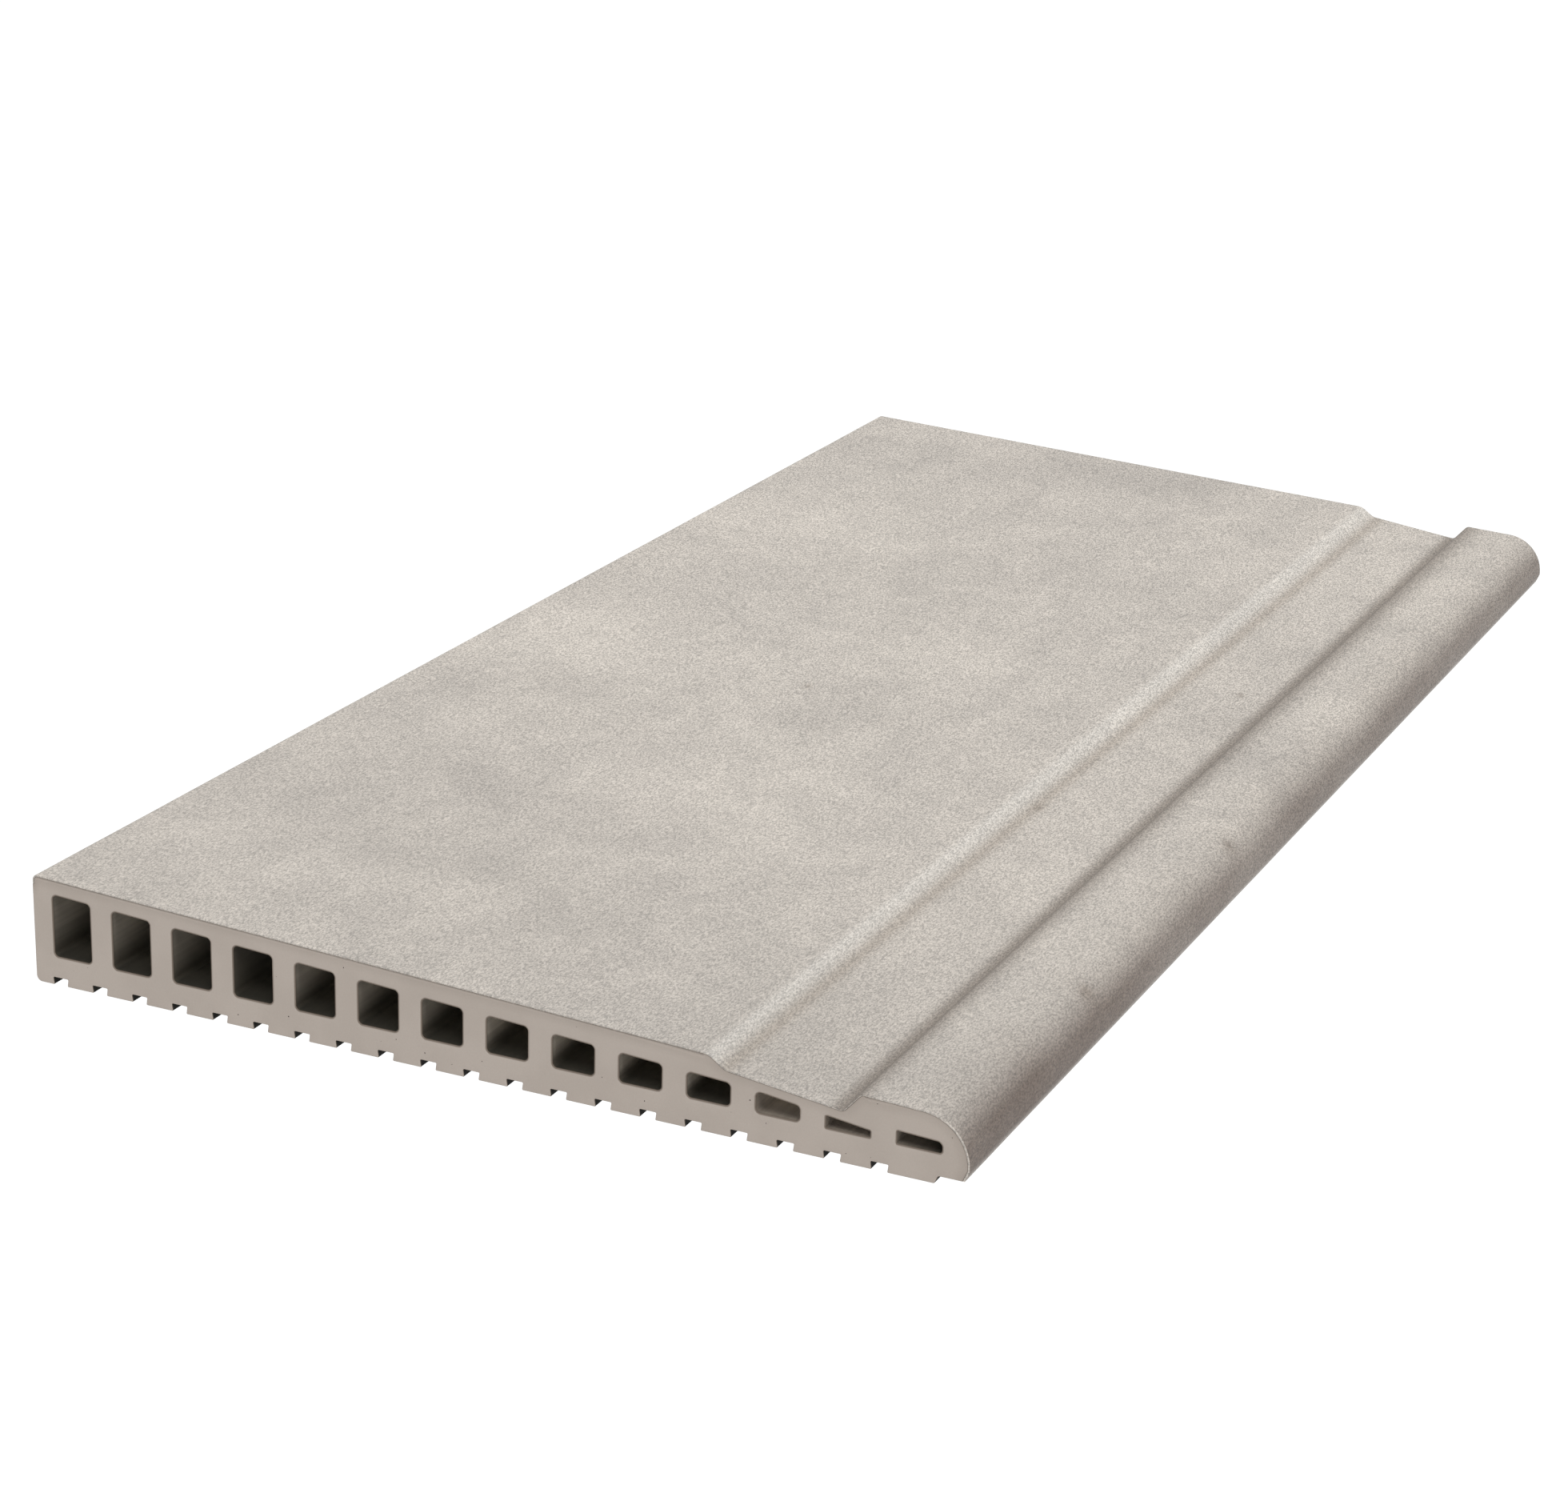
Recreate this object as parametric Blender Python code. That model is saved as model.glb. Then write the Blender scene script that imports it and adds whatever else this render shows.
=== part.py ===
"""Hollow extruded stoneware pool-edge tile with a finger-grip recess and a rounded nose.

X runs across the profile from the flat back edge to the nose, Y runs along the extrusion,
and Z is up from the ribbed bedding face. The origin is at the middle of the base.
"""

import math

import bpy
from mathutils import Vector
from mathutils.geometry import delaunay_2d_cdt

MM = 0.001

# Overall sizes.
TILE_WIDTH = 315.0 * MM
TILE_LENGTH = 660.0 * MM
BACK_THICKNESS = 36.0 * MM
NOSE_THICKNESS = 21.2 * MM

# Finger-grip recess, placed from the nose face and measured down from the plane of the deck.
STEP_SETBACK = 81.4 * MM
STEP_RUN = 5.4 * MM
STEP_DROP = 3.6 * MM
TROUGH_SETBACK = 39.2 * MM
TROUGH_DEPTH = 6.5 * MM
RAMP_RUN = 5.4 * MM

# Edge roundings of the glazed side.
BACK_EDGE_RADIUS = 2.0 * MM
STEP_EDGE_RADIUS = 6.0 * MM
STEP_FOOT_RADIUS = 4.5 * MM
TROUGH_RADIUS = 2.0 * MM
RIDGE_RADIUS = 2.4 * MM
NOSE_TUCK_RADIUS = 2.0 * MM
NOSE_TUCK_RUN = 1.4 * MM
NOSE_TUCK_RISE = 3.4 * MM
NOSE_FACE = 0.6 * MM

# Glaze coat.
GLAZE_THICKNESS = 0.6 * MM
GLAZE_GAP = 0.3 * MM
GLAZE_BACK_WRAP = 3.2 * MM

# Bedding face: dovetail grooves between ribs, and the raised shelf under the nose.
GROOVE_COUNT = 20
GROOVE_DEPTH = 2.5 * MM
GROOVE_MOUTH = 4.8 * MM
GROOVE_FLARE = 0.35 * MM
FIRST_RIB = 6.7 * MM
LAST_RIB = 14.5 * MM
NOSE_SHELF = 10.5 * MM
SHELF_STEP_RUN = 1.0 * MM
BASE_EDGE_RADIUS = 2.0 * MM
SHELF_EDGE_RADIUS = 0.8 * MM

# Through channels.
CHANNEL_COUNT = 14
CHANNEL_WALL = 8.2 * MM
BACK_WALL = 7.3 * MM
NOSE_WALL = 8.6 * MM
FLOOR_WEB = 7.2 * MM
DECK_WEB_BACK = 5.4 * MM
DECK_WEB_FRONT = 7.8 * MM
RECESS_WEB = 3.7 * MM
NOSE_WEB = 8.6 * MM
CHANNEL_RADIUS = 1.5 * MM
RECESS_CHANNEL_RADIUS = 0.3 * MM
NOSE_CHANNEL_RADIUS = 1.7 * MM

# Derived slope and positions.
DECK_SLOPE = (BACK_THICKNESS - NOSE_THICKNESS) / TILE_WIDTH
STEP_X = TILE_WIDTH - STEP_SETBACK
FOOT_X = STEP_X + STEP_RUN
TROUGH_X = TILE_WIDTH - TROUGH_SETBACK
RIDGE_X = TROUGH_X + RAMP_RUN
SHELF_X = TILE_WIDTH - NOSE_SHELF
CHANNEL_FLOOR = GROOVE_DEPTH + FLOOR_WEB
CORED_WIDTH = TILE_WIDTH - BACK_WALL - NOSE_WALL
CHANNEL_PITCH = (CORED_WIDTH + CHANNEL_WALL) / CHANNEL_COUNT
CHANNEL_WIDTH = CHANNEL_PITCH - CHANNEL_WALL
GROOVED_WIDTH = SHELF_X - LAST_RIB - GROOVE_MOUTH - FIRST_RIB
GROOVE_PITCH = GROOVED_WIDTH / (GROOVE_COUNT - 1)
FILLET_SHARES = (0.35, 0.35, 0.6, 0.35)
ARC_STEP = math.radians(9.0)
THINNEST_TRIANGLE = 1e-4


def deck_height(x):
    """Height of the plane that the deck and the top of the nose lie in."""
    return BACK_THICKNESS - DECK_SLOPE * x


def recess_height(x):
    """Height of the sloping floor of the recess, carried on as a straight line."""
    foot = deck_height(FOOT_X) - STEP_DROP
    trough = deck_height(TROUGH_X) - TROUGH_DEPTH
    return foot + (trough - foot) * (x - FOOT_X) / (TROUGH_X - FOOT_X)


def unit(a, b):
    dx = b[0] - a[0]
    dz = b[1] - a[1]
    length = math.hypot(dx, dz)
    return (dx / length, dz / length)


def rounded(corners, closed):
    """Points along a line of (x, z, radius) corners, each corner turned with its radius."""
    points = []
    count = len(corners)
    for index, (x, z, radius) in enumerate(corners):
        if radius <= 0 or (not closed and index in (0, count - 1)):
            points.append((x, z))
            continue
        into = unit(corners[index - 1], (x, z))
        out = unit((x, z), corners[(index + 1) % count])
        turn = math.atan2(into[0] * out[1] - into[1] * out[0], into[0] * out[0] + into[1] * out[1])
        reach = radius * math.tan(abs(turn) / 2)
        start = (x - into[0] * reach, z - into[1] * reach)
        side = 1 if turn > 0 else -1
        centre = (start[0] - into[1] * side * radius, start[1] + into[0] * side * radius)
        spoke = (start[0] - centre[0], start[1] - centre[1])
        steps = max(2, math.ceil(abs(turn) / ARC_STEP))
        for step in range(steps + 1):
            angle = turn * step / steps
            cosine = math.cos(angle)
            sine = math.sin(angle)
            points.append((centre[0] + spoke[0] * cosine - spoke[1] * sine,
                           centre[1] + spoke[0] * sine + spoke[1] * cosine))
    return points


def glazed_corners():
    """Corners of the glazed side, from the back edge over the deck, recess and nose."""
    top = deck_height(TILE_WIDTH)
    tuck = GROOVE_DEPTH + NOSE_TUCK_RISE
    turn = math.pi / 2 - math.atan(DECK_SLOPE)
    nose_radius = (top - tuck - NOSE_FACE) / math.tan(turn / 2)
    return [
        (0.0, BACK_THICKNESS - GLAZE_BACK_WRAP, 0.0),
        (0.0, BACK_THICKNESS, BACK_EDGE_RADIUS),
        (STEP_X, deck_height(STEP_X), STEP_EDGE_RADIUS),
        (FOOT_X, recess_height(FOOT_X), STEP_FOOT_RADIUS),
        (TROUGH_X, recess_height(TROUGH_X), TROUGH_RADIUS),
        (RIDGE_X, deck_height(RIDGE_X), RIDGE_RADIUS),
        (TILE_WIDTH, top, nose_radius),
        (TILE_WIDTH, tuck, NOSE_TUCK_RADIUS),
        (TILE_WIDTH - NOSE_TUCK_RUN, GROOVE_DEPTH, 0.0),
    ]


def sunk(corners, depth):
    """The same corners moved in under the surface, square to each straight run."""
    moved = []
    runs = [unit(a, b) for a, b in zip(corners, corners[1:])]
    for index, (x, z, radius) in enumerate(corners):
        before = runs[max(index - 1, 0)]
        after = runs[min(index, len(runs) - 1)]
        turn = before[0] * after[1] - before[1] * after[0]
        spread = 1 + before[0] * after[0] + before[1] * after[1]
        x += (before[1] + after[1]) * depth / spread
        z -= (before[0] + after[0]) * depth / spread
        if radius > 0:
            radius += depth if turn > 0 else -depth
        moved.append((x, z, radius))
    return moved


def channel_corners(index):
    """Corners of one through channel, with its roof a web below the surface over it."""
    left = BACK_WALL + index * CHANNEL_PITCH
    right = left + CHANNEL_WIDTH
    middle = (left + right) / 2
    radii = [CHANNEL_RADIUS] * 4
    if middle < (STEP_X + FOOT_X) / 2 + CHANNEL_WALL:
        web_growth = (DECK_WEB_FRONT - DECK_WEB_BACK) / STEP_X
        roofs = [deck_height(x) - DECK_WEB_BACK - web_growth * x for x in (left, right)]
    elif middle < RIDGE_X:
        roofs = [recess_height(x) - RECESS_WEB for x in (left, right)]
        if middle > (FOOT_X + TROUGH_X) / 2 + CHANNEL_WIDTH / 2:
            radii = [RECESS_CHANNEL_RADIUS] * 4
    else:
        roofs = [deck_height(x) - NOSE_WEB for x in (left, right)]
        radii = [RECESS_CHANNEL_RADIUS, NOSE_CHANNEL_RADIUS / 2,
                 NOSE_CHANNEL_RADIUS, RECESS_CHANNEL_RADIUS]
    height = min(roofs) - CHANNEL_FLOOR
    radii = [min(radius, height * share) for radius, share in zip(radii, FILLET_SHARES)]
    return [
        (left, CHANNEL_FLOOR, radii[0]),
        (right, CHANNEL_FLOOR, radii[1]),
        (right, roofs[1], radii[2]),
        (left, roofs[0], radii[3]),
    ]


def bedding_corners():
    """Corners of the underside, from the nose shelf back to the back edge."""
    corners = [
        (SHELF_X + SHELF_STEP_RUN, GROOVE_DEPTH, SHELF_EDGE_RADIUS),
        (SHELF_X, 0.0, SHELF_EDGE_RADIUS),
    ]
    for index in reversed(range(GROOVE_COUNT)):
        left = FIRST_RIB + index * GROOVE_PITCH
        right = left + GROOVE_MOUTH
        corners += [
            (right, 0.0, 0.0),
            (right + GROOVE_FLARE, GROOVE_DEPTH, 0.0),
            (left - GROOVE_FLARE, GROOVE_DEPTH, 0.0),
            (left, 0.0, 0.0),
        ]
    corners.append((0.0, 0.0, BASE_EDGE_RADIUS))
    return corners


def signed_area(points):
    return sum(a[0] * b[1] - b[0] * a[1] for a, b in zip(points[-1:] + points[:-1], points)) / 2


def inside(x, z, loops):
    """Whether a point is in the solid: an odd number of edges lie straight above it."""
    odd = False
    for loop in loops:
        for (ax, az), (bx, bz) in zip(loop[-1:] + loop[:-1], loop):
            if (ax > x) != (bx > x) and z < az + (bz - az) * (x - ax) / (bx - ax):
                odd = not odd
    return odd


def filled(loops):
    """Triangles that fill the first loop less the others, as indices along all the loops."""
    points = [Vector((x / MM, z / MM)) for loop in loops for x, z in loop]
    edges = []
    for loop in loops:
        first = len(edges)
        edges += [(first + i, first + (i + 1) % len(loop)) for i in range(len(loop))]
    spots, _, triangles, sources, _, _ = delaunay_2d_cdt(points, edges, [], 0, 1e-5)
    kept = []
    for triangle in triangles:
        a, b, c = (spots[corner] for corner in triangle)
        middle = (a + b + c) * MM / 3
        if signed_area([a, b, c]) > THINNEST_TRIANGLE and inside(middle.x, middle.y, loops):
            kept.append(tuple(sources[corner][0] for corner in triangle))
    return kept


def ribbon(count):
    """Quads that fill a loop of count points made of one edge out and its partner back."""
    return [(i, i + 1, count - 2 - i, count - 1 - i) for i in range(count // 2 - 1)]


def extruded(name, loops, caps, colour, roughness):
    """An object with the section that caps fill between loops, run along Y for the length."""
    loops = [[(x - TILE_WIDTH / 2, z) for x, z in loop] for loop in loops]
    flat = [point for loop in loops for point in loop]
    count = len(flat)
    half = TILE_LENGTH / 2
    vertices = [(x, -half, z) for x, z in flat] + [(x, half, z) for x, z in flat]
    faces = []
    for cap in caps:
        front = cap if signed_area([flat[corner] for corner in cap]) > 0 else cap[::-1]
        faces.append(front)
        faces.append(tuple(corner + count for corner in front[::-1]))
    first = 0
    for loop in loops:
        size = len(loop)
        solid_on_left = (signed_area(loop) > 0) == (first == 0)
        for i in range(size):
            a = first + i
            b = first + (i + 1) % size
            side = (a, a + count, b + count, b)
            faces.append(side if solid_on_left else side[::-1])
        first += size
    mesh = bpy.data.meshes.new(name)
    mesh.from_pydata(vertices, [], faces)
    mesh.validate()
    mesh.shade_smooth()
    mesh.set_sharp_from_angle(angle=math.radians(20.0))
    mesh.materials.append(finish(name, colour, roughness))
    body = bpy.data.objects.new(name, mesh)
    bpy.context.scene.collection.objects.link(body)
    return body


def finish(name, colour, roughness):
    material = bpy.data.materials.new(name)
    material.use_nodes = True
    shader = material.node_tree.nodes["Principled BSDF"]
    shader.inputs["Base Color"].default_value = (*colour, 1.0)
    shader.inputs["Roughness"].default_value = roughness
    return material


def stoneware_body():
    """The fired body: ribbed underneath, cored through, and set in under the glaze."""
    under = sunk(glazed_corners(), GLAZE_THICKNESS + GLAZE_GAP)
    lip = BACK_THICKNESS - GLAZE_BACK_WRAP - GLAZE_GAP
    top = [(0.0, lip, 0.0), (under[0][0], lip, 0.0)] + under[1:-1]
    tuck = unit(under[-2], under[-1])
    reach = (GROOVE_DEPTH - under[-1][1]) / tuck[1]
    top.append((under[-1][0] + tuck[0] * reach, GROOVE_DEPTH, 0.0))
    outline = rounded(top + bedding_corners(), True)
    channels = [channel_corners(index) for index in range(CHANNEL_COUNT)]
    loops = [outline] + [rounded(corners, True) for corners in channels]
    return extruded("stoneware_body", loops, filled(loops), (0.42, 0.37, 0.32), 0.85)


def glaze_coat():
    """The glaze fired on over the deck, the recess and the nose."""
    outer = glazed_corners()
    inner = sunk(outer, GLAZE_THICKNESS)
    outline = rounded(outer, False) + rounded(inner, False)[::-1]
    return extruded("glaze_coat", [outline], ribbon(len(outline)), (0.52, 0.49, 0.45), 0.55)


def main():
    for leftover in list(bpy.data.objects):
        bpy.data.objects.remove(leftover, do_unlink=True)
    stoneware_body()
    glaze_coat()


main()
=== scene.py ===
"""Looks of a pool-edge tile: a cored stoneware body under a satin, cloudy stone-look glaze.

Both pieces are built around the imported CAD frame, in metres. X runs across the profile from
the back edge to the nose, Y runs along the extrusion, and Z is up from the ribbed bedding face.
"""

import math
import random

import bpy
import numpy as np
from mathutils import Matrix, Vector, noise
from mathutils.geometry import delaunay_2d_cdt


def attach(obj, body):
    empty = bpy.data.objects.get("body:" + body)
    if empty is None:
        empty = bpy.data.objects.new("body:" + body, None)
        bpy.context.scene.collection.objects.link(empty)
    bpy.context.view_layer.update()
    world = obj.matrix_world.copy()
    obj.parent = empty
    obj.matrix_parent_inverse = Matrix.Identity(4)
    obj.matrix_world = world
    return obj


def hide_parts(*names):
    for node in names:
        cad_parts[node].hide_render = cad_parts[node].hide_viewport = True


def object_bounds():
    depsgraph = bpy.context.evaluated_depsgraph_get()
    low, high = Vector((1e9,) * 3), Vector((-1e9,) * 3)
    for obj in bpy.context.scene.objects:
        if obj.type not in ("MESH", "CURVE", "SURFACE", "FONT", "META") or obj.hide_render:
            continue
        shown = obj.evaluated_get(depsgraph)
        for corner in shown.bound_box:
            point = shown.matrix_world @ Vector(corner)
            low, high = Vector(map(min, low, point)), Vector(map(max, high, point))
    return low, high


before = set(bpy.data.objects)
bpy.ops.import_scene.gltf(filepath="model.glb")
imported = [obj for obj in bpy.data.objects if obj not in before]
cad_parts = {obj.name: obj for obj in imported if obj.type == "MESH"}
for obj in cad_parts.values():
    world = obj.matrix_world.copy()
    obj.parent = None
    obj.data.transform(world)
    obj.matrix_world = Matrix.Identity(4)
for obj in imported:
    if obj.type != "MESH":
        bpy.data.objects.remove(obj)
CAD_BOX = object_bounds()

MM = 0.001

# The CAD profile, repeated from part.py.
TILE_WIDTH = CAD_BOX[1].x - CAD_BOX[0].x
HALF_LENGTH = (CAD_BOX[1].y - CAD_BOX[0].y) / 2
BACK_THICKNESS = 36.0 * MM
NOSE_THICKNESS = 21.2 * MM
STEP_SETBACK = 81.4 * MM
STEP_RUN = 5.4 * MM
STEP_DROP = 3.6 * MM
TROUGH_SETBACK = 39.2 * MM
TROUGH_DEPTH = 6.5 * MM
RAMP_RUN = 5.4 * MM
BACK_EDGE_RADIUS = 2.0 * MM
STEP_EDGE_RADIUS = 6.0 * MM
STEP_FOOT_RADIUS = 4.5 * MM
TROUGH_RADIUS = 2.0 * MM
RIDGE_RADIUS = 2.4 * MM
NOSE_TUCK_RADIUS = 2.0 * MM
NOSE_TUCK_RUN = 1.4 * MM
NOSE_TUCK_RISE = 3.4 * MM
NOSE_FACE = 0.6 * MM
GLAZE_THICKNESS = 0.6 * MM
GLAZE_BACK_WRAP = 3.2 * MM
GROOVE_COUNT = 20
GROOVE_DEPTH = 2.5 * MM
GROOVE_MOUTH = 4.8 * MM
GROOVE_FLARE = 0.35 * MM
FIRST_RIB = 6.7 * MM
LAST_RIB = 14.5 * MM
NOSE_SHELF = 10.5 * MM
SHELF_STEP_RUN = 1.0 * MM
BASE_EDGE_RADIUS = 2.0 * MM
SHELF_EDGE_RADIUS = 0.8 * MM
CHANNEL_COUNT = 14
CHANNEL_WALL = 8.2 * MM
BACK_WALL = 7.3 * MM
NOSE_WALL = 8.6 * MM
FLOOR_WEB = 7.2 * MM
DECK_WEB_BACK = 5.4 * MM
DECK_WEB_FRONT = 7.8 * MM
RECESS_WEB = 3.7 * MM
NOSE_WEB = 8.6 * MM
CHANNEL_RADIUS = 1.5 * MM
RECESS_CHANNEL_RADIUS = 0.3 * MM
NOSE_CHANNEL_RADIUS = 1.7 * MM
FILLET_SHARES = (0.35, 0.35, 0.6, 0.35)

DECK_SLOPE = (BACK_THICKNESS - NOSE_THICKNESS) / TILE_WIDTH
STEP_X = TILE_WIDTH - STEP_SETBACK
FOOT_X = STEP_X + STEP_RUN
TROUGH_X = TILE_WIDTH - TROUGH_SETBACK
RIDGE_X = TROUGH_X + RAMP_RUN
SHELF_X = TILE_WIDTH - NOSE_SHELF
CHANNEL_FLOOR = GROOVE_DEPTH + FLOOR_WEB
CHANNEL_PITCH = (TILE_WIDTH - BACK_WALL - NOSE_WALL + CHANNEL_WALL) / CHANNEL_COUNT
CHANNEL_WIDTH = CHANNEL_PITCH - CHANNEL_WALL
GROOVE_PITCH = (SHELF_X - LAST_RIB - GROOVE_MOUTH - FIRST_RIB) / (GROOVE_COUNT - 1)

# Fine detail that only the looks carry.
ARC_STEP = math.radians(7.5)
SHARP_ANGLE = math.radians(42.0)
RIB_EDGE_RADIUS = 0.35 * MM
FIRED_GAP = 0.02 * MM
CUT_EDGE_RADIUS = 0.22 * MM
CUT_EDGE_STEPS = 3
TINY = 1e-18


# Profile ------------------------------------------------------------------------------------

def deck_height(x):
    """Height of the plane that the deck and the top of the nose lie in."""
    return BACK_THICKNESS - DECK_SLOPE * x


def recess_height(x):
    """Height of the sloping floor of the recess, carried on as a straight line."""
    foot = deck_height(FOOT_X) - STEP_DROP
    trough = deck_height(TROUGH_X) - TROUGH_DEPTH
    return foot + (trough - foot) * (x - FOOT_X) / (TROUGH_X - FOOT_X)


def unit(a, b):
    """Direction from a to b."""
    dx = b[0] - a[0]
    dz = b[1] - a[1]
    length = math.hypot(dx, dz)
    return (dx / length, dz / length)


def rounded(corners, closed):
    """Points along a line of (x, z, radius) corners, each corner turned with its radius."""
    points = []
    count = len(corners)
    for index, (x, z, radius) in enumerate(corners):
        if radius <= 0 or (not closed and index in (0, count - 1)):
            points.append((x, z))
            continue
        into = unit(corners[index - 1], (x, z))
        out = unit((x, z), corners[(index + 1) % count])
        turn = math.atan2(into[0] * out[1] - into[1] * out[0], into[0] * out[0] + into[1] * out[1])
        reach = radius * math.tan(abs(turn) / 2)
        start = (x - into[0] * reach, z - into[1] * reach)
        side = 1 if turn > 0 else -1
        centre = (start[0] - into[1] * side * radius, start[1] + into[0] * side * radius)
        spoke = (start[0] - centre[0], start[1] - centre[1])
        steps = max(2, math.ceil(abs(turn) / ARC_STEP))
        for step in range(steps + 1):
            angle = turn * step / steps
            cosine = math.cos(angle)
            sine = math.sin(angle)
            points.append((centre[0] + spoke[0] * cosine - spoke[1] * sine,
                           centre[1] + spoke[0] * sine + spoke[1] * cosine))
    return points


def sunk(corners, depth, closed=False):
    """The same corners moved into the material, square to each straight run."""
    count = len(corners)
    runs = [unit(corners[i], corners[(i + 1) % count]) for i in range(count)]
    moved = []
    for index, (x, z, radius) in enumerate(corners):
        before = runs[index - 1]
        after = runs[index]
        if not closed and index == 0:
            before = after
        if not closed and index == count - 1:
            after = before
        turn = before[0] * after[1] - before[1] * after[0]
        spread = 1 + before[0] * after[0] + before[1] * after[1]
        x += (before[1] + after[1]) * depth / spread
        z -= (before[0] + after[0]) * depth / spread
        if radius > 0:
            radius += depth if turn > 0 else -depth
        moved.append((x, z, radius))
    return moved


def glazed_corners():
    """Corners of the glazed side, from the back edge over the deck, recess and nose."""
    top = deck_height(TILE_WIDTH)
    tuck = GROOVE_DEPTH + NOSE_TUCK_RISE
    turn = math.pi / 2 - math.atan(DECK_SLOPE)
    nose_radius = (top - tuck - NOSE_FACE) / math.tan(turn / 2)
    return [
        (0.0, BACK_THICKNESS - GLAZE_BACK_WRAP, 0.0),
        (0.0, BACK_THICKNESS, BACK_EDGE_RADIUS),
        (STEP_X, deck_height(STEP_X), STEP_EDGE_RADIUS),
        (FOOT_X, recess_height(FOOT_X), STEP_FOOT_RADIUS),
        (TROUGH_X, recess_height(TROUGH_X), TROUGH_RADIUS),
        (RIDGE_X, deck_height(RIDGE_X), RIDGE_RADIUS),
        (TILE_WIDTH, top, nose_radius),
        (TILE_WIDTH, tuck, NOSE_TUCK_RADIUS),
        (TILE_WIDTH - NOSE_TUCK_RUN, GROOVE_DEPTH, 0.0),
    ]


def channel_corners(index):
    """Corners of one through channel, with its roof a web below the surface over it."""
    left = BACK_WALL + index * CHANNEL_PITCH
    right = left + CHANNEL_WIDTH
    middle = (left + right) / 2
    radii = [CHANNEL_RADIUS] * 4
    if middle < (STEP_X + FOOT_X) / 2 + CHANNEL_WALL:
        web_growth = (DECK_WEB_FRONT - DECK_WEB_BACK) / STEP_X
        roofs = [deck_height(x) - DECK_WEB_BACK - web_growth * x for x in (left, right)]
    elif middle < RIDGE_X:
        roofs = [recess_height(x) - RECESS_WEB for x in (left, right)]
        if middle > (FOOT_X + TROUGH_X) / 2 + CHANNEL_WIDTH / 2:
            radii = [RECESS_CHANNEL_RADIUS] * 4
    else:
        roofs = [deck_height(x) - NOSE_WEB for x in (left, right)]
        radii = [RECESS_CHANNEL_RADIUS, NOSE_CHANNEL_RADIUS / 2,
                 NOSE_CHANNEL_RADIUS, RECESS_CHANNEL_RADIUS]
    height = min(roofs) - CHANNEL_FLOOR
    radii = [min(radius, height * share) for radius, share in zip(radii, FILLET_SHARES)]
    return [
        (left, CHANNEL_FLOOR, radii[0]),
        (right, CHANNEL_FLOOR, radii[1]),
        (right, roofs[1], radii[2]),
        (left, roofs[0], radii[3]),
    ]


def body_corners():
    """Corners of the body's outline, clockwise: under the glaze, then back along the ribs."""
    under = sunk(glazed_corners(), GLAZE_THICKNESS + FIRED_GAP)
    lip = BACK_THICKNESS - GLAZE_BACK_WRAP - FIRED_GAP
    corners = [(0.0, lip, RIB_EDGE_RADIUS), (under[0][0], lip, 0.0)] + under[1:-1]
    tuck = unit(under[-2], under[-1])
    reach = (GROOVE_DEPTH - under[-1][1]) / tuck[1]
    corners.append((under[-1][0] + tuck[0] * reach, GROOVE_DEPTH, 0.0))
    corners.append((SHELF_X + SHELF_STEP_RUN, GROOVE_DEPTH, SHELF_EDGE_RADIUS))
    corners.append((SHELF_X, 0.0, SHELF_EDGE_RADIUS))
    for index in reversed(range(GROOVE_COUNT)):
        left = FIRST_RIB + index * GROOVE_PITCH
        right = left + GROOVE_MOUTH
        corners += [
            (right, 0.0, RIB_EDGE_RADIUS),
            (right + GROOVE_FLARE, GROOVE_DEPTH, RIB_EDGE_RADIUS),
            (left - GROOVE_FLARE, GROOVE_DEPTH, RIB_EDGE_RADIUS),
            (left, 0.0, RIB_EDGE_RADIUS),
        ]
    corners.append((0.0, 0.0, BASE_EDGE_RADIUS))
    return corners


# Mesh tools ---------------------------------------------------------------------------------

def smooth(low, high, value):
    """0 at low, 1 at high, with a smooth turn between them."""
    t = np.clip((value - low) / (high - low), 0.0, 1.0)
    return t * t * (3.0 - 2.0 * t)


def bell(low, high, reach, value):
    """1 from low to high, falling off like a bell curve with this reach on each side."""
    outside = np.maximum(np.maximum(low - value, value - high), 0.0)
    return np.exp(-outside ** 2 / (2 * reach ** 2))


def distance_to(points, line, closed):
    """Distance from each point to a line of points. Two points of the line may coincide."""
    start = np.array(line if closed else line[:-1])
    end = np.array(line[1:] + line[:1] if closed else line[1:])
    run = end - start
    least = np.full(len(points), np.inf)
    for a, d in zip(start, run):
        t = np.clip(((points - a) @ d) / max(d @ d, TINY), 0.0, 1.0)
        least = np.minimum(least, np.hypot(*(points - a - t[:, None] * d).T))
    return least


def inside(points, loops):
    """Whether each point is in the solid: an odd number of edges lie straight above it."""
    odd = np.zeros(len(points), bool)
    x = points[:, 0]
    z = points[:, 1]
    for loop in loops:
        for (ax, az), (bx, bz) in zip(loop[-1:] + loop[:-1], loop):
            if ax == bx:
                continue
            crosses = (ax > x) != (bx > x)
            odd ^= crosses & (z < az + (bz - az) * (x - ax) / (bx - ax))
    return odd


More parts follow.
